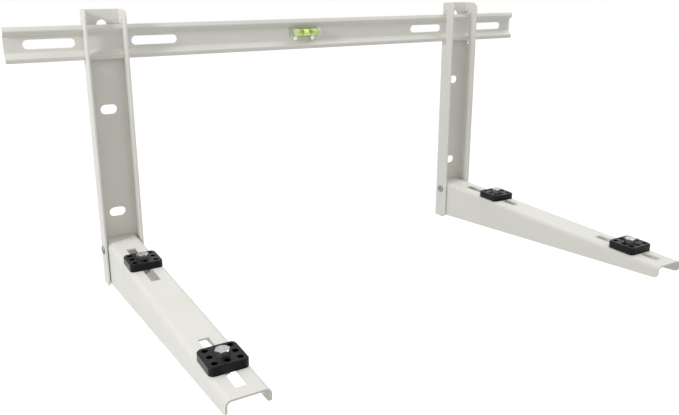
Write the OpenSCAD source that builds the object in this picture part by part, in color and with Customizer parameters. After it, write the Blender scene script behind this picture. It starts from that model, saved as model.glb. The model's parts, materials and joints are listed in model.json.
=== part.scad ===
// Wall bracket for an outdoor air conditioner: two folded uprights on a levelling crossbar,
// each with a tapered arm and two rubber pads that slide in the arm's slots.
// Millimetres. X runs along the crossbar, Y into the wall, Z up.
// The origin is the middle of the crossbar, on the back face of its web.

/* [Crossbar] */
// Length of the crossbar
bar_length = 800; // [700:1:1200]
// Height of the crossbar over its lips
bar_height = 43; // [38:0.5:60]
// Depth of the crossbar from its back face to the front of its bends
bar_depth = 9; // [7:0.5:14]
// Sheet thickness of the crossbar
bar_sheet = 1.5; // [1:0.1:2]
// Height of the flat web between the two lower bends
bar_web_height = 20; // [16:0.5:24]
// Height of each lip
bar_lip_height = 5; // [3:0.5:7]
// How far each lip leans back towards the wall
bar_lip_lean = 2; // [0:0.5:3]
// Length of each wall slot, end to end
bar_slot_length = 60; // [20:1:70]
// Height of each wall slot
bar_slot_width = 11.5; // [6:0.5:13]
// Distance from the middle of the bar to the middle of an outer slot
bar_outer_slot = 349; // [300:1:360]
// Distance from the middle of the bar to the middle of an inner slot
bar_inner_slot = 220; // [150:1:240]

/* [Uprights] */
// Outer width of each upright
upright_width = 50; // [46:0.5:70]
// Height of each upright
upright_height = 362; // [340:1:500]
// Depth of each upright from the wall to the front of its flanges
upright_depth = 28.3; // [26:0.1:40]
// Sheet thickness of the uprights
upright_sheet = 2; // [1.5:0.1:3]
// Height of the upright's top over the middle of the crossbar
upright_top = 40; // [36:1:80]
// Distance from the middle of the bar to the middle of the left upright
left_x = 285; // [90:0.5:340]
// Distance from the middle of the bar to the middle of the right upright
right_x = 280.5; // [90:0.5:340]
// Radius of the rounded top corners of the flanges
flange_top_radius = 9; // [2:0.5:14]
// Radius of the rounded bottom corners of the flanges
flange_foot_radius = 8; // [2:0.5:14]
// Length of each wall slot in the uprights, end to end
wall_slot_length = 21; // [16:0.5:28]
// Height of each wall slot in the uprights
wall_slot_width = 12.5; // [8:0.5:14]
// Depth of the upper wall slot below the middle of the crossbar
upper_slot_drop = 87; // [60:1:120]
// Height of the lower wall slot above the arm's top
lower_slot_rise = 35; // [20:0.5:60]
// Diameter of the round hole above the crossbar
top_hole_d = 12.5; // [6:0.5:14]
// Height of the round hole over the middle of the crossbar
top_hole_z = 21; // [18:0.5:28]
// Diameter of the relief holes above and below the crossbar windows
relief_d = 4.5; // [3:0.5:6]
// Distance from the bar's back face to the middle of the relief holes
relief_y = 9; // [5:0.5:12]
// Gap between the crossbar and the windows that it passes through
window_gap = 0.6; // [0.4:0.1:1.5]
// Gap between the back of the crossbar and the uprights
slide_gap = 0; // [0:0.1:1]

/* [Arms] */
// Length of each arm, from its heel to its tip
arm_length = 443; // [400:1:600]
// Height of the arm at its heel
arm_heel_height = 58.5; // [50:0.5:70]
// Height of the arm at its tip
arm_tip_height = 15; // [12:0.5:30]
// Height of the arm's heel above the foot of the upright
arm_heel_rise = 2; // [0:0.5:20]
// Sheet thickness of the arms
arm_sheet = 2; // [1.5:0.1:3]
// Outer radius of the arm's long bends
arm_bend_radius = 6; // [4:0.5:8]
// Gap at each side between the arm and the upright
arm_side_gap = 1.3; // [0.5:0.1:2]
// Gap between the arm's heel and the upright's web
arm_heel_gap = 0.7; // [0.5:0.1:1]
// Radius of the rounded lower corners at the arm's tip
arm_tip_radius = 5; // [2:0.5:11]
// Width of the slots for the pad bolts
arm_slot_width = 11.5; // [9:0.5:13]
// Distance from the bar's back face to the heel end of the rear slot
rear_slot_start = 56; // [45:1:70]
// Length of the rear slot
rear_slot_length = 115; // [50:1:130]
// Distance from the arm's tip to the front end of the front slot
front_slot_setback = 15.7; // [10:0.1:40]
// Length of the front slot
front_slot_length = 97; // [50:1:120]

/* [Pads] */
// Size of each pad across the arm
pad_width = 39.5; // [34:0.5:42]
// Size of each pad along the arm
pad_length = 39.5; // [34:0.5:42]
// Thickness of each pad
pad_height = 9; // [7:0.5:20]
// Radius of the pad's upright corners
pad_corner = 6; // [3:0.5:8]
// Chamfer round the top edge of the pad
pad_chamfer = 1.2; // [0.5:0.1:2]
// Spacing of the pad's small holes
pad_hole_pitch = 12.6; // [10:0.1:13]
// Diameter of the pad's small holes
pad_hole_d = 6.4; // [3:0.1:7]
// Depth of the pad's small holes
pad_hole_depth = 6.5; // [4:0.5:10]
// Distance from the bar's back face to the left arm's rear pad
left_rear_pad_y = 115.5; // [80:1:145]
// Distance from the bar's back face to the right arm's rear pad
right_rear_pad_y = 124.5; // [80:1:145]
// Distance from the arm's tip to the middle of the front pads
front_pad_setback = 60.5; // [25:0.1:100]

/* [Fasteners] */
// Thread diameter of all bolts
bolt_d = 8; // [6:1:8]
// Width across the flats of heads and nuts
hex_flats = 13; // [10:0.5:13]
// Height of the bolt heads
head_height = 5.3; // [4:0.1:6]
// Height of the nuts
nut_height = 6.5; // [4:0.1:8]
// Outer diameter of the washers
washer_d = 16; // [14:0.5:18]
// Thickness of the washers
washer_height = 1.6; // [1:0.1:2]
// Gap round a bolt in its hole
bolt_gap = 0.5; // [0.2:0.1:1]
// Length of thread that stands out of a nut
thread_end = 3; // [1:0.5:6]
// Diameter of the rivets that join each arm to its upright
arm_rivet_d = 8; // [6:0.5:10]
// Diameter of the rivets' outer heads
arm_rivet_head_d = 12.5; // [11:0.5:16]
// Distance from the bar's back face to the arm rivets
arm_rivet_y = 12.5; // [12:0.5:18]
// Depth of the arm rivets below the arm's top
arm_rivet_drop = 11.5; // [11:0.5:20]

/* [Level] */
// Length of the level's vial
vial_length = 38; // [30:1:45]
// Outer diameter of the vial
vial_d = 12; // [9:0.5:13]
// Wall of the vial
vial_wall = 1.2; // [0.8:0.1:1.5]
// Height of the vial's middle over the middle of the crossbar
vial_z = 2; // [0:0.5:3]
// Distance from the bar's middle to the middle of the level
level_x = 2; // [-40:1:40]
// Thickness of the saddle's round cheeks at the ends of the vial
cheek_width = 4; // [2:0.5:6]
// Distance between the two rivets of the saddle
rivet_spacing = 28; // [20:1:34]
// Thickness of the saddle's base
saddle_base = 2; // [1:0.1:3]
// Length of the bubble
bubble_length = 9; // [6:0.5:12]

/* [Hidden] */

$fn = 48;
cut = 1;
bend_steps = 6;

// Crossbar section, as the middle line of the sheet in Y and Z
bar_bend_radius = 1 + bar_sheet / 2;
bar_half = (bar_height - bar_sheet * bar_lip_lean / norm([bar_lip_height, bar_lip_lean])) / 2;
bar_front = -bar_depth + bar_sheet / 2;
bar_back = -bar_sheet / 2;
bar_face = -bar_sheet;
bar_lip_tip = bar_front + bar_lip_lean;

// Uprights
web_front = slide_gap;
wall_y = slide_gap + upright_sheet;
flange_front = wall_y - upright_depth;
upright_bottom = upright_top - upright_height;
upright_inner_radius = 1.5;
upright_bend_radius = upright_inner_radius + upright_sheet / 2;
inner_half = upright_width / 2 - upright_sheet;
window_half = bar_height / 2 + window_gap;
relief_z = window_half + 0.75 * relief_d;
window_front = -bar_depth - window_gap;
window_reach = upright_sheet + 2 * upright_inner_radius + cut;

// Arms
arm_top = upright_bottom + arm_heel_rise + arm_heel_height;
arm_half = inner_half - arm_side_gap;
arm_heel_y = web_front - arm_heel_gap;
arm_tip_y = arm_heel_y - arm_length;
arm_under = arm_top - arm_sheet;
front_slot_start = front_slot_setback + front_slot_length;
arm_rivet_z = arm_top - arm_rivet_drop;
arm_inner_half = arm_half - arm_sheet;
front_pad_y = -arm_tip_y - front_pad_setback;

// Pads and fasteners
hex_corner_r = hex_flats / 2 / cos(30);
pad_head_seat = arm_top + pad_height;
pad_bolt_end = arm_under - washer_height - nut_height - thread_end;

// Level
vial_y = bar_face - saddle_base - vial_d / 2;
plug_depth = 3;
vial_fit = 0.1;
cheek_d = vial_d + 2;
rivet_d = 3;
rivet_head_d = 5.6;
rivet_head = 1.2;
rivet_x = rivet_spacing / 2;
foot_length = 9;
foot_bottom = 0.8 - bar_web_height / 2;
rivet_z = foot_bottom + 3;

steel = "#d9dad0";
zinc = "#a9acae";
rubber = "#262626";

// Distance from the bar's back face to the middle of a pad
function pad_y(side, place) =
    place == "front" ? front_pad_y : side == "left" ? left_rear_pad_y : right_rear_pad_y;

// A point of the plane turned by an angle
function turned(p, a) = [p[0] * cos(a) - p[1] * sin(a), p[0] * sin(a) + p[1] * cos(a)];
function unit(v) = v / norm(v);
function left_of(v) = [-v[1], v[0]];

// Turning angle of a path at its middle point
function turn(a, b, c) =
    let (u = unit(b - a), w = unit(c - b))
    atan2(u[0] * w[1] - u[1] * w[0], u * w);

// Points of one face of the sheet round a bend, at a distance to the left of the middle line
function bend_points(a, b, c, radius, offset) =
    let (angle = turn(a, b, c), way = sign(angle), u = unit(b - a))
    let (centre = b - u * radius * tan(abs(angle) / 2) + left_of(u) * way * radius)
    [for (i = [0:bend_steps])
        centre - turned(left_of(u) * way, angle * i / bend_steps) * (radius - way * offset)];

function face_points(path, radius, offset) =
    let (last = len(path) - 1)
    concat(
        [path[0] + left_of(unit(path[1] - path[0])) * offset],
        [for (i = [1:last - 1]) each bend_points(path[i - 1], path[i], path[i + 1], radius, offset)],
        [path[last] + left_of(unit(path[last] - path[last - 1])) * offset]);

function backwards(list) = [for (i = [len(list) - 1:-1:0]) list[i]];

// Section of a folded sheet whose middle line follows a path
module folded(path, radius, sheet) {
    polygon(concat(face_points(path, radius, sheet / 2), backwards(face_points(path, radius, -sheet / 2))));
}

// A round-ended slot along X, cut through along Y
module slot_cut(length, width, depth) {
    reach = (length - width) / 2;
    rotate([90, 0, 0]) {
        translate([-reach, -width / 2, -depth / 2]) cube([2 * reach, width, depth]);
        for (end = [-reach, reach])
            translate([end, 0, 0]) cylinder(h = depth, d = width, center = true);
    }
}

// The waste outside a rounded corner whose two sides run along +X and +Y from the corner
module corner_waste(radius) {
    difference() {
        translate([-cut, -cut]) square(radius + cut);
        translate([radius, radius]) circle(r = radius);
    }
}

// Turns a YZ outline into a solid that runs along X
module along_x(length) {
    rotate([90, 0, 90]) linear_extrude(height = length, center = true) children();
}

module hex_prism(height) {
    cylinder(h = height, r = hex_corner_r, $fn = 6);
}

// A hexagon whose corners are turned down to a cone
module chamfered_hex(height, chamfered_below = false) {
    slope = (hex_corner_r - hex_flats / 2) * tan(30);
    intersection() {
        hex_prism(height);
        rotate_extrude() polygon([
            [0, 0],
            [chamfered_below ? hex_flats / 2 : hex_corner_r + cut, 0],
            [hex_corner_r + (chamfered_below ? 0 : cut), chamfered_below ? slope : 0],
            [hex_corner_r + (chamfered_below ? 0 : cut), height - slope],
            [hex_corner_r, height - slope],
            [hex_flats / 2, height],
            [0, height]]);
    }
}

module washer() {
    difference() {
        cylinder(h = washer_height, d = washer_d);
        translate([0, 0, -cut]) cylinder(h = washer_height + 2 * cut, d = bolt_d + bolt_gap);
    }
}

module nut() {
    difference() {
        chamfered_hex(nut_height, chamfered_below = true);
        translate([0, 0, -cut]) cylinder(h = nut_height + 2 * cut, d = bolt_d);
    }
}

// A bolt with its head's seat at Z 0, its head above and its shank below
module bolt(shank) {
    point = bolt_d / 8;
    chamfered_hex(head_height);
    rotate_extrude() polygon([
        [0, cut / 2],
        [bolt_d / 2, cut / 2],
        [bolt_d / 2, point - shank],
        [bolt_d / 2 - point, -shank],
        [0, -shank]]);
}

module crossbar() {
    path = [
        [bar_lip_tip, bar_half],
        [bar_front, bar_half - bar_lip_height],
        [bar_back, bar_web_height / 2],
        [bar_back, -bar_web_height / 2],
        [bar_front, bar_lip_height - bar_half],
        [bar_lip_tip, -bar_half]];
    color(steel) difference() {
        along_x(bar_length) folded(path, bar_bend_radius, bar_sheet);
        for (side = [-1, 1]) {
            for (x = [bar_inner_slot, bar_outer_slot])
                translate([side * x, bar_back, 0]) slot_cut(bar_slot_length, bar_slot_width, 4 * bar_sheet);
            translate([side * rivet_x - level_x, 0, rivet_z]) rotate([90, 0, 0])
                cylinder(h = 4 * bar_sheet, d = rivet_d, center = true);
        }
    }
}

// A round bar along X, with its middle on the vial's axis
module round_along_x(length, d) {
    translate([0, vial_y, vial_z]) rotate([0, 90, 0]) cylinder(h = length, d = d, center = true);
}

// Section of the saddle's trough, which holds the back half of the vial
module trough_section() {
    difference() {
        translate([vial_y, vial_z - cheek_d / 2]) square([bar_face - vial_y, cheek_d]);
        translate([vial_y, vial_z]) circle(d = vial_d + vial_fit);
    }
}

module level_saddle() {
    color("#e9efe6") difference() {
        union() {
            along_x(vial_length) trough_section();
            for (side = [-1, 1]) {
                // Cheek at the end of the vial
                translate([side * (vial_length + cheek_width) / 2, 0, 0]) {
                    round_along_x(cheek_width, cheek_d);
                    along_x(cheek_width) translate([vial_y, vial_z - cheek_d / 2])
                        square([bar_face - vial_y, cheek_d]);
                }
                // Foot with its rivet hole
                translate([side * rivet_x - foot_length / 2, bar_face - saddle_base, foot_bottom])
                    cube([foot_length, saddle_base, vial_z - foot_bottom]);
            }
        }
        round_along_x(vial_length, vial_d + vial_fit);
        // Rivet holes, each with a round recess for the head
        for (side = [-1, 1]) translate([side * rivet_x, 0, rivet_z]) rotate([90, 0, 0]) {
            cylinder(h = 8 * saddle_base, d = rivet_d, center = true);
            translate([0, 0, saddle_base - bar_face]) cylinder(h = vial_d, d = rivet_head_d + 0.6);
        }
    }
}

module level_vial() {
    color("#e8f6cf") difference() {
        round_along_x(vial_length, vial_d);
        round_along_x(vial_length + 2 * cut, vial_d - 2 * vial_wall);
    }
}

module level_liquid() {
    bore_d = vial_d - 2 * vial_wall;
    bubble_d = bore_d * 0.6;
    color("#b7d83c") difference() {
        round_along_x(vial_length - 2 * plug_depth, bore_d);
        translate([0, 0, (bore_d - bubble_d) / 2 + 0.3]) round_along_x(bubble_length, bubble_d);
    }
}

module level_end_plugs() {
    color("#e9efe6") for (side = [-1, 1])
        translate([side * (vial_length - plug_depth) / 2, 0, 0])
            round_along_x(plug_depth, vial_d - 2 * vial_wall);
}

module level_rivets() {
    color("#eceee8") for (side = [-1, 1])
        translate([side * rivet_x, 0, rivet_z]) rotate([90, 0, 0]) {
            cylinder(h = -bar_face + saddle_base + cut / 2, d = rivet_d);
            translate([0, 0, -bar_face + saddle_base]) cylinder(h = rivet_head, d = rivet_head_d);
        }
}

// One upright, a channel that is open to the front, standing at X 0
module upright() {
    side = upright_width / 2 - upright_sheet / 2;
    web = web_front + upright_sheet / 2;
    path = [[-side, flange_front], [-side, web], [side, web], [side, flange_front]];
    across = upright_width + 2 * cut;
    color(steel) difference() {
        translate([0, 0, upright_bottom])
            linear_extrude(height = upright_height) folded(path, upright_bend_radius, upright_sheet);
        // Rounded top and bottom corners of the flanges
        translate([0, flange_front, upright_top]) mirror([0, 0, 1])
            along_x(across) corner_waste(flange_top_radius);
        translate([0, flange_front, upright_bottom])
            along_x(across) corner_waste(flange_foot_radius);
        // Windows for the crossbar in both flanges, with a relief hole above and below each
        for (flange = [-1, 1]) translate([flange * (inner_half + upright_sheet / 2), 0, 0]) {
            translate([-window_reach / 2, window_front, -window_half])
                cube([window_reach, web_front - window_front, 2 * window_half]);
            for (end = [-1, 1])
                translate([0, -relief_y, end * relief_z]) rotate([0, 90, 0])
                    cylinder(h = 4 * upright_sheet, d = relief_d, center = true);
        }
        // Round hole and wall slots in the web
        translate([0, web, top_hole_z]) rotate([90, 0, 0])
            cylinder(h = 4 * upright_sheet, d = top_hole_d, center = true);
        for (z = [-upper_slot_drop, arm_top + lower_slot_rise])
            translate([0, web, z]) slot_cut(wall_slot_length, wall_slot_width, 4 * upright_sheet);
        // Holes for the arm rivets
        translate([0, -arm_rivet_y, arm_rivet_z]) rotate([0, 90, 0])
            cylinder(h = across, d = arm_rivet_d, center = true);
    }
}

// One arm, a tapered channel that is open below, with its middle at X 0
module arm() {
    side = arm_half - arm_sheet / 2;
    middle = arm_top - arm_sheet / 2;
    foot = arm_top - arm_heel_height;
    path = [[-side, foot], [-side, middle], [side, middle], [side, foot]];
    across = 2 * arm_half + 2 * cut;
    taper = atan2(arm_heel_height - arm_tip_height, arm_length);
    color(steel) difference() {
        translate([0, arm_heel_y, 0]) rotate([90, 0, 0])
            linear_extrude(height = arm_length) folded(path, arm_bend_radius - arm_sheet / 2, arm_sheet);
        // The slanted lower edge
        translate([0, arm_tip_y, arm_top - arm_tip_height]) rotate([-taper, 0, 0])
            translate([-across / 2, -arm_length, -arm_heel_height])
                cube([across, 3 * arm_length, arm_heel_height]);
        // The rounded lower corners at the tip
        translate([0, arm_tip_y, arm_top - arm_tip_height]) along_x(across)
            corner_waste(arm_tip_radius);
        // Slots for the pad bolts
        for (s = [[-rear_slot_start, rear_slot_length], [arm_tip_y + front_slot_start, front_slot_length]])
            translate([-arm_slot_width / 2, s[0] - s[1], arm_top - arm_sheet - cut])
                cube([arm_slot_width, s[1], arm_sheet + 2 * cut]);
        // Holes for the arm rivets
        translate([0, -arm_rivet_y, arm_rivet_z]) rotate([0, 90, 0])
            cylinder(h = across, d = arm_rivet_d, center = true);
    }
}

// The two rivets of one arm, each through the upright's flange, a spacer and the arm's wall
module arm_rivets() {
    grip = upright_width / 2 - arm_inner_half;
    head_height_out = 2.4;
    head_height_in = 2;
    rim = 1;
    color(zinc) for (flange = [-1, 1])
        translate([flange * upright_width / 2, -arm_rivet_y, arm_rivet_z]) rotate([0, flange * 90, 0]) {
            // Low domed head outside the flange
            rotate_extrude() polygon([
                [0, 0],
                [arm_rivet_head_d / 2, 0],
                [arm_rivet_head_d / 2, rim],
                [arm_rivet_head_d / 2 - 0.6, rim + 0.7],
                [arm_rivet_head_d / 2 - 2, head_height_out - 0.2],
                [arm_rivet_head_d / 2 - 3.4, head_height_out],
                [0, head_height_out]]);
            translate([0, 0, -grip]) cylinder(h = grip + cut / 2, d = arm_rivet_d);
            // Head that is formed inside the arm
            translate([0, 0, -grip - head_height_in]) cylinder(h = head_height_in, d1 = arm_rivet_d,
                d2 = arm_rivet_head_d - 3);
        }
}

// The two rings that keep the arm's walls off the flanges
module arm_spacers() {
    color(zinc) for (flange = [-1, 1])
        translate([flange * (arm_half + arm_side_gap / 2), -arm_rivet_y, arm_rivet_z])
            rotate([0, 90, 0]) difference() {
                cylinder(h = arm_side_gap, d = washer_d, center = true);
                cylinder(h = arm_side_gap + cut, d = arm_rivet_d, center = true);
            }
}

// Side outline of the pad, in an upright plane through its middle: chamfered at the top
module pad_outline(half) {
    polygon([
        [-half, 0],
        [half, 0],
        [half, pad_height - pad_chamfer],
        [half - pad_chamfer, pad_height],
        [pad_chamfer - half, pad_height],
        [-half, pad_height - pad_chamfer]]);
}

// One pad with its middle at X 0 and Y 0 and its foot at Z 0
module pad() {
    straight_x = pad_width - 2 * pad_corner;
    straight_y = pad_length - 2 * pad_corner;
    color(rubber) difference() {
        union() {
            rotate([90, 0, 0]) linear_extrude(height = straight_y, center = true) pad_outline(pad_width / 2);
            along_x(straight_x) pad_outline(pad_length / 2);
            for (x = [-1, 1]) for (y = [-1, 1])
                translate([x * straight_x / 2, y * straight_y / 2, 0]) rotate_extrude() intersection() {
                    pad_outline(pad_corner);
                    square([pad_corner, pad_height]);
                }
        }
        translate([0, 0, -cut]) cylinder(h = pad_height + 2 * cut, d = bolt_d + bolt_gap);
        for (x = [-1:1]) for (y = [-1:1]) if (x != 0 || y != 0)
            translate([x * pad_hole_pitch, y * pad_hole_pitch, pad_height - pad_hole_depth])
                cylinder(h = pad_height, d = pad_hole_d);
    }
}

module pad_bolt() {
    color(zinc) translate([0, 0, pad_head_seat]) bolt(pad_head_seat - pad_bolt_end);
}

module pad_washer() {
    color(zinc) translate([0, 0, arm_under - washer_height]) washer();
}

module pad_nut() {
    color(zinc) translate([0, 0, arm_under - washer_height - nut_height]) nut();
}

crossbar();
translate([-level_x, 0, 0]) level_saddle();
translate([-level_x, 0, 0]) level_vial();
translate([-level_x, 0, 0]) level_liquid();
translate([-level_x, 0, 0]) level_end_plugs();
translate([-level_x, 0, 0]) level_rivets();
for (side = ["left", "right"]) translate([side == "left" ? -left_x : right_x, 0, 0]) {
    upright();
    arm();
    arm_rivets();
    arm_spacers();
    for (place = ["rear", "front"]) translate([0, -pad_y(side, place), 0]) {
        name = str(side, "_", place, "_pad");
        translate([0, 0, arm_top]) pad();
        pad_bolt();
        pad_washer();
        pad_nut();
    }
}
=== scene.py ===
"""Wall bracket for an outdoor air conditioner: materials, light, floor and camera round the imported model."""
import json
import math

import bpy
from mathutils import Matrix, Vector


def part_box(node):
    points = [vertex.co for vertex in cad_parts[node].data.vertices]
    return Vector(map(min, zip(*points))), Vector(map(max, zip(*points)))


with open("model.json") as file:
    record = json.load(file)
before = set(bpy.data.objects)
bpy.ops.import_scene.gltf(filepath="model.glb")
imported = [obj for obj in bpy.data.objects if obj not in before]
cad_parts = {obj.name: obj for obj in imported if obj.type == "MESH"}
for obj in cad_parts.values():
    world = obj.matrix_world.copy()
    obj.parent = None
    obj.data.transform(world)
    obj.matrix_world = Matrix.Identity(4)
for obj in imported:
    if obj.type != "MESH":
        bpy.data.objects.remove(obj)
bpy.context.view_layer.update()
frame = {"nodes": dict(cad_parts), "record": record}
NODES = frame["nodes"]


# Materials: every one is made of nodes, in metres of the object's own space
class Shader:
    """A small builder for one material's node tree."""

    def __init__(self, name):
        self.material = bpy.data.materials.new(name)
        self.material.use_nodes = True
        self.tree = self.material.node_tree
        self.principled = self.tree.nodes["Principled BSDF"]
        self.coords = self.add("ShaderNodeTexCoord").outputs["Object"]

    def add(self, kind, **inputs):
        node = self.tree.nodes.new(kind)
        for key, value in inputs.items():
            self.feed(node.inputs[key.replace("_", " ")], value)
        return node

    def feed(self, socket, value):
        if isinstance(value, bpy.types.NodeSocket):
            self.tree.links.new(value, socket)
        else:
            socket.default_value = value

    def set(self, **inputs):
        for key, value in inputs.items():
            self.feed(self.principled.inputs[key.replace("_", " ")], value)

    def noise(self, size, detail=3.0, roughness=0.5, stretch=None):
        """Noise between 0 and 1 whose lumps are about size metres across."""
        vector = self.coords
        if stretch:
            scaled = self.add("ShaderNodeMapping", Vector=vector, Scale=stretch)
            vector = scaled.outputs["Vector"]
        node = self.add("ShaderNodeTexNoise", Vector=vector, Scale=1 / size, Detail=detail,
                        Roughness=roughness)
        return node.outputs["Fac"]

    def ramp(self, value, stops):
        """Maps a value to colours or greys at the given positions."""
        node = self.add("ShaderNodeValToRGB", Fac=value)
        points = node.color_ramp.elements
        while len(points) < len(stops):
            points.new(0.5)
        for point, (position, colour) in zip(points, stops):
            point.position = position
            point.color = colour if len(colour) == 4 else (*colour, 1)
        return node.outputs["Color"]

    def span(self, value, low, high):
        """Maps 0..1 to low..high."""
        node = self.add("ShaderNodeMapRange", Value=value)
        node.inputs["To Min"].default_value = low
        node.inputs["To Max"].default_value = high
        return node.outputs["Result"]

    def mix(self, factor, a, b):
        node = self.tree.nodes.new("ShaderNodeMix")
        node.data_type = "RGBA"
        self.feed(node.inputs[0], factor)
        self.feed(node.inputs[6], a)
        self.feed(node.inputs[7], b)
        return node.outputs[2]

    def math(self, operation, *values):
        node = self.tree.nodes.new("ShaderNodeMath")
        node.operation = operation
        for socket, value in zip(node.inputs, values):
            self.feed(socket, value)
        return node.outputs[0]

    def from_level_middle(self):
        """Distance along the crossbar from the middle of the level."""
        low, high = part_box("level_vial")
        along = self.add("ShaderNodeSeparateXYZ", Vector=self.coords).outputs["X"]
        return self.math("ABSOLUTE", self.math("SUBTRACT", along, (low.x + high.x) / 2))

    def bump(self, height, strength, depth):
        node = self.add("ShaderNodeBump", Height=height, Strength=strength, Distance=depth)
        self.feed(self.principled.inputs["Normal"], node.outputs["Normal"])


# Rings on the level's tube: how far each stands from its middle and half its width, in metres
RING_PLACE = 0.0062
RING_HALF_WIDTH = 0.0004
# Half the length of the level's tube over which the liquid's colour changes, in metres
LIQUID_REACH = 0.02
# Painted glow of the small white and green pieces, which are no lamps: it makes them lighter than what lies round
# them
PAINTED_GLOW = 0.25

# Thread and head of the pad bolts, in metres. All four stand at one height
THREADED_NODE = "left_rear_pad_bolt"
THREAD_PITCH = 0.00125
THREAD_DEPTH = 0.0004
HEAD_HEIGHT = 0.0053


def grey(level):
    return (level, level, level)


def powder_coat():
    """Cream powder coat over steel sheet, with the fine orange peel that it dries to."""
    s = Shader("powder_coat")
    patch = s.noise(0.09, detail=4.0)
    colour = s.ramp(patch, [(0.3, (0.768, 0.757, 0.702)), (0.7, (0.808, 0.797, 0.752))])
    fleck = s.ramp(s.noise(0.0016, detail=2.0), [(0.62, grey(0)), (0.78, grey(1))])
    s.set(Base_Color=s.mix(s.span(fleck, 0, 0.05), colour, (0.62, 0.62, 0.57, 1)))
    s.set(Roughness=s.span(s.noise(0.02), 0.38, 0.50), IOR=1.5, Specular_IOR_Level=0.22)
    s.bump(s.noise(0.0011, detail=2.0, roughness=0.6), 0.25, 0.00012)
    return s.material


def zinc(threaded):
    """Zinc-plated steel, satin, with painted light: tops of heads painted lighter and their flats painted darker,
    as painted reflection and shade.
    """
    s = Shader("threaded_zinc" if threaded else "zinc")
    spangle = s.noise(0.004, detail=5.0, roughness=0.6)
    # Painted light: a lighter zinc for faces that look up, and a darker one for the flats, which stands in for the
    # dark rubber reflected in them
    painted_lit_tops = s.ramp(spangle, [(0.3, (0.46, 0.47, 0.48)), (0.7, (0.62, 0.63, 0.64))])
    painted_dark_flats = s.ramp(spangle, [(0.3, (0.19, 0.19, 0.20)), (0.7, (0.31, 0.31, 0.32))])
    normal = s.add("ShaderNodeTexCoord").outputs["Normal"]
    upward = s.math("ABSOLUTE", s.add("ShaderNodeSeparateXYZ", Vector=normal).outputs["Z"])
    s.set(Base_Color=s.mix(s.ramp(upward, [(0.35, grey(0)), (0.8, grey(1))]), painted_dark_flats, painted_lit_tops))
    s.set(Metallic=1.0, Roughness=s.span(s.noise(0.003, detail=4.0), 0.32, 0.44))
    if threaded:
        s.bump(thread_height(s), 1.0, THREAD_DEPTH)
    else:
        s.bump(s.noise(0.0015, detail=2.0), 0.03, 0.00004)
    return s.material


def thread_height(s):
    """Grooves round the shank of a pad bolt, at the pitch of its thread, and none on its head."""
    head_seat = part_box(THREADED_NODE)[1].z - HEAD_HEIGHT
    level = s.add("ShaderNodeSeparateXYZ", Vector=s.coords).outputs["Z"]
    wave = s.math("SINE", s.math("MULTIPLY", level, 2 * math.pi / THREAD_PITCH))
    return s.math("MULTIPLY", s.math("LESS_THAN", level, head_seat - THREAD_PITCH), wave)


def rubber():
    """Moulded black rubber with a slight gloss."""
    s = Shader("rubber")
    bloom = s.noise(0.012, detail=4.0)
    s.set(Base_Color=s.ramp(bloom, [(0.3, grey(0.003)), (0.75, grey(0.008))]))
    s.set(Roughness=s.span(s.noise(0.006), 0.24, 0.36), IOR=1.5, Specular_IOR_Level=0.16)
    s.bump(s.noise(0.0009, detail=3.0), 0.2, 0.0001)
    return s.material


def plastic(name, colour, opacity, roughness):
    """Moulded plastic, opaque or so clear that only a haze of it is seen; the opaque kind gets a painted glow."""
    s = Shader(name)
    s.set(Base_Color=s.ramp(s.noise(0.01), [(0.3, [c * 0.96 for c in colour]), (0.7, colour)]))
    s.set(Roughness=s.span(s.noise(0.004), roughness, roughness + 0.08), IOR=1.49)
    s.set(Alpha=opacity)
    s.bump(s.noise(0.002), 0.05, 0.00005)
    # Painted glow: the opaque pieces emit light so that they look lighter, though they are no lamps
    if opacity == 1:
        s.set(Emission_Color=(*colour, 1), Emission_Strength=PAINTED_GLOW)
    return s.material


def vial():
    """Clear tube with the two thin rings between which the bubble stands."""
    s = Shader("vial")
    mark = s.math("COMPARE", s.from_level_middle(), RING_PLACE, RING_HALF_WIDTH)
    s.set(Base_Color=s.mix(mark, (0.93, 0.98, 0.8, 1), (0.22, 0.28, 0.05, 1)))
    s.set(Roughness=0.06, IOR=1.49, Alpha=s.span(mark, 0.1, 0.3))
    return s.material


def liquid():
    """Yellow-green spirit, pale where the bubble is, with painted shade at the bubble's edge, painted light by
    height and a painted glow.
    """
    s = Shader("liquid")
    reach = s.math("DIVIDE", s.from_level_middle(), LIQUID_REACH)
    wander = s.math("MULTIPLY_ADD", s.noise(0.005), 0.1, -0.05)
    # Pale bubble in the middle, with painted shade at its edge where the tube bends the light
    bubble_and_painted_rim_shade = s.ramp(s.math("ADD", reach, wander), [
        (0.0, (0.78, 0.92, 0.30)), (0.16, (0.66, 0.84, 0.16)), (0.27, (0.11, 0.20, 0.003)),
        (0.42, (0.17, 0.29, 0.006)), (0.6, (0.56, 0.76, 0.06)), (0.8, (0.68, 0.84, 0.14))])
    low, high = (corner.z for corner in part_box("level_liquid"))
    level = s.add("ShaderNodeSeparateXYZ", Vector=s.coords).outputs["Z"]
    height = s.add("ShaderNodeMapRange", Value=level)
    height.inputs["From Min"].default_value = low
    height.inputs["From Max"].default_value = high
    # Painted light: the liquid is lighter near the bottom of the tube, and a little at its top
    painted_light_by_height = s.ramp(height.outputs["Result"], [
        (0.2, grey(0.85)), (0.5, grey(0.1)), (0.85, grey(0)), (1.0, grey(0.4))])
    colour = s.mix(painted_light_by_height, bubble_and_painted_rim_shade, (0.82, 0.94, 0.42, 1))
    s.set(Base_Color=colour, Roughness=0.05, IOR=1.36)
    # Painted glow, though the liquid is no lamp
    s.set(Emission_Color=colour, Emission_Strength=PAINTED_GLOW)
    return s.material


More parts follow.
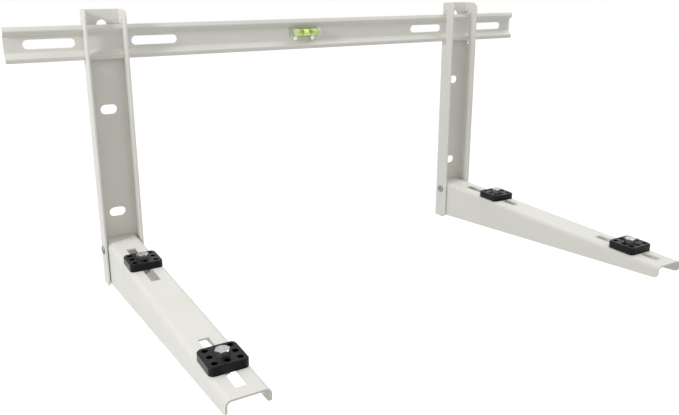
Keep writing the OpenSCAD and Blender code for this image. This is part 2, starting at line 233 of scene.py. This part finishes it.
MATERIALS = {
    "powder_coat": powder_coat(),
    "zinc": zinc(threaded=False),
    "threaded_zinc": zinc(threaded=True),
    "rubber": rubber(),
    "vial": vial(),
    "liquid": liquid(),
    "clear_plastic": plastic("clear_plastic", (0.88, 0.92, 0.84), 0.25, 0.15),
    "white_plastic": plastic("white_plastic", (0.95, 0.95, 0.92), 1, 0.3),
}

# Radius of the softened edges of each kind of piece, in metres, and the flattest fold that counts as an edge
EDGES = {"powder_coat": 0.00035, "zinc": 0.00035, "rubber": 0.0005}
EDGE_ANGLE = math.radians(32)

for part in frame["record"]["subparts"]:
    node = NODES[part["node"]]
    slot = part["material_slot"]
    node.data.materials.clear()
    threaded = part["node"].endswith("_bolt")
    node.data.materials.append(MATERIALS["threaded_zinc" if threaded else slot])
    if slot in EDGES:
        bevel = node.modifiers.new("soft_edges", "BEVEL")
        bevel.width = EDGES[slot]
        bevel.segments = 2
        bevel.limit_method = "ANGLE"
        bevel.angle_limit = EDGE_ANGLE
        bevel.harden_normals = True


# Camera at the photograph's viewpoint: its place in metres, and its turn to the right, down and about its own axis
CAMERA_PLACE = (-0.48842, -0.95016, 0.08624)
CAMERA_TURN = (31.359, 15.622, -0.411)
SENSOR_WIDTH = 36
FOCAL_LENGTH = 37.99
SHIFT = (-0.0238, -0.0510)


def make_camera():
    yaw, pitch, roll = (math.radians(angle) for angle in CAMERA_TURN)
    level_forward = Vector((math.sin(yaw), math.cos(yaw), 0))
    forward = math.cos(pitch) * level_forward - math.sin(pitch) * Vector((0, 0, 1))
    level_right = Vector((math.cos(yaw), -math.sin(yaw), 0))
    level_down = forward.cross(level_right)
    right = math.cos(roll) * level_right + math.sin(roll) * level_down
    down = math.cos(roll) * level_down - math.sin(roll) * level_right
    data = bpy.data.cameras.new("camera")
    data.sensor_width = SENSOR_WIDTH
    data.lens = FOCAL_LENGTH
    data.shift_x, data.shift_y = SHIFT
    data.clip_end = 50
    camera = bpy.data.objects.new("camera", data)
    bpy.context.scene.collection.objects.link(camera)
    turn = Matrix((right, -down, -forward)).transposed().to_4x4()
    camera.matrix_world = Matrix.Translation(CAMERA_PLACE) @ turn
    bpy.context.scene.camera = camera


make_camera()


def area_light(name, place, target, size, power):
    """Round lamp of the given size in metres and power in watts, turned to its target."""
    data = bpy.data.lights.new(name, "AREA")
    data.shape = "DISK"
    data.size = size
    data.energy = power
    light = bpy.data.objects.new(name, data)
    bpy.context.scene.collection.objects.link(light)
    direction = Vector(target) - Vector(place)
    turn = direction.to_track_quat("-Z", "Y").to_matrix().to_4x4()
    light.matrix_world = Matrix.Translation(place) @ turn


area_light("key", place=(-1.3, -0.38, 0.5), target=(0.0, -0.2, -0.15), size=0.25, power=7.2)
area_light("right", place=(0.8, -0.15, 1.1), target=(0.2, -0.2, -0.2), size=0.9, power=7.9)


# Floor and backdrop: pale, and plain white where the camera sees them straight or in metal and glass
def seen_by_camera(tree):
    """1 for what reaches the camera straight, mirrored or through glass, and 0 for the light on the object."""
    path = tree.nodes.new("ShaderNodeLightPath")
    seen = path.outputs["Is Camera Ray"]
    for ray in ("Is Glossy Ray", "Is Transmission Ray"):
        either = tree.nodes.new("ShaderNodeMath")
        either.operation = "MAXIMUM"
        tree.links.new(seen, either.inputs[0])
        tree.links.new(path.outputs[ray], either.inputs[1])
        seen = either.outputs[0]
    return seen


# Height of the floor and half its width, in metres, and what lifts its own brightness to white for the camera
FLOOR_HEIGHT = -0.9
FLOOR_HALF_WIDTH = 8
FLOOR_LIFT = 0.64
# Strength of the world as a light, and as the white that the camera sees
WORLD_LIGHT = 0.57
WORLD_WHITE = 1.0


def make_floor():
    """Pale floor that takes the object's shadow, lifted to white for the camera alone."""
    mesh = bpy.data.meshes.new("floor")
    corners = [(x * FLOOR_HALF_WIDTH, y * FLOOR_HALF_WIDTH, FLOOR_HEIGHT)
               for x, y in ((-1, -1), (1, -1), (1, 1), (-1, 1))]
    mesh.from_pydata(corners, [], [(0, 1, 2, 3)])
    floor = bpy.data.objects.new("floor", mesh)
    bpy.context.scene.collection.objects.link(floor)
    material = bpy.data.materials.new("pale_floor")
    material.use_nodes = True
    tree = material.node_tree
    surface = tree.nodes["Principled BSDF"].inputs
    surface["Base Color"].default_value = (0.74, 0.74, 0.73, 1)
    surface["Roughness"].default_value = 0.8
    surface["Emission Color"].default_value = (1, 1, 1, 1)
    lift = tree.nodes.new("ShaderNodeMath")
    lift.operation = "MULTIPLY"
    lift.inputs[1].default_value = FLOOR_LIFT
    tree.links.new(seen_by_camera(tree), lift.inputs[0])
    tree.links.new(lift.outputs[0], surface["Emission Strength"])
    mesh.materials.append(material)


def make_world():
    """Plain light from all sides, and white where the camera sees it."""
    world = bpy.data.worlds.new("studio")
    world.use_nodes = True
    bpy.context.scene.world = world
    tree = world.node_tree
    background = tree.nodes["Background"]
    background.inputs["Color"].default_value = (1, 1, 1, 1)
    strength = tree.nodes.new("ShaderNodeMapRange")
    strength.inputs["To Min"].default_value = WORLD_LIGHT
    strength.inputs["To Max"].default_value = WORLD_WHITE
    tree.links.new(seen_by_camera(tree), strength.inputs["Value"])
    tree.links.new(strength.outputs["Result"], background.inputs["Strength"])


make_floor()
make_world()
bpy.context.scene.view_settings.view_transform = "Standard"
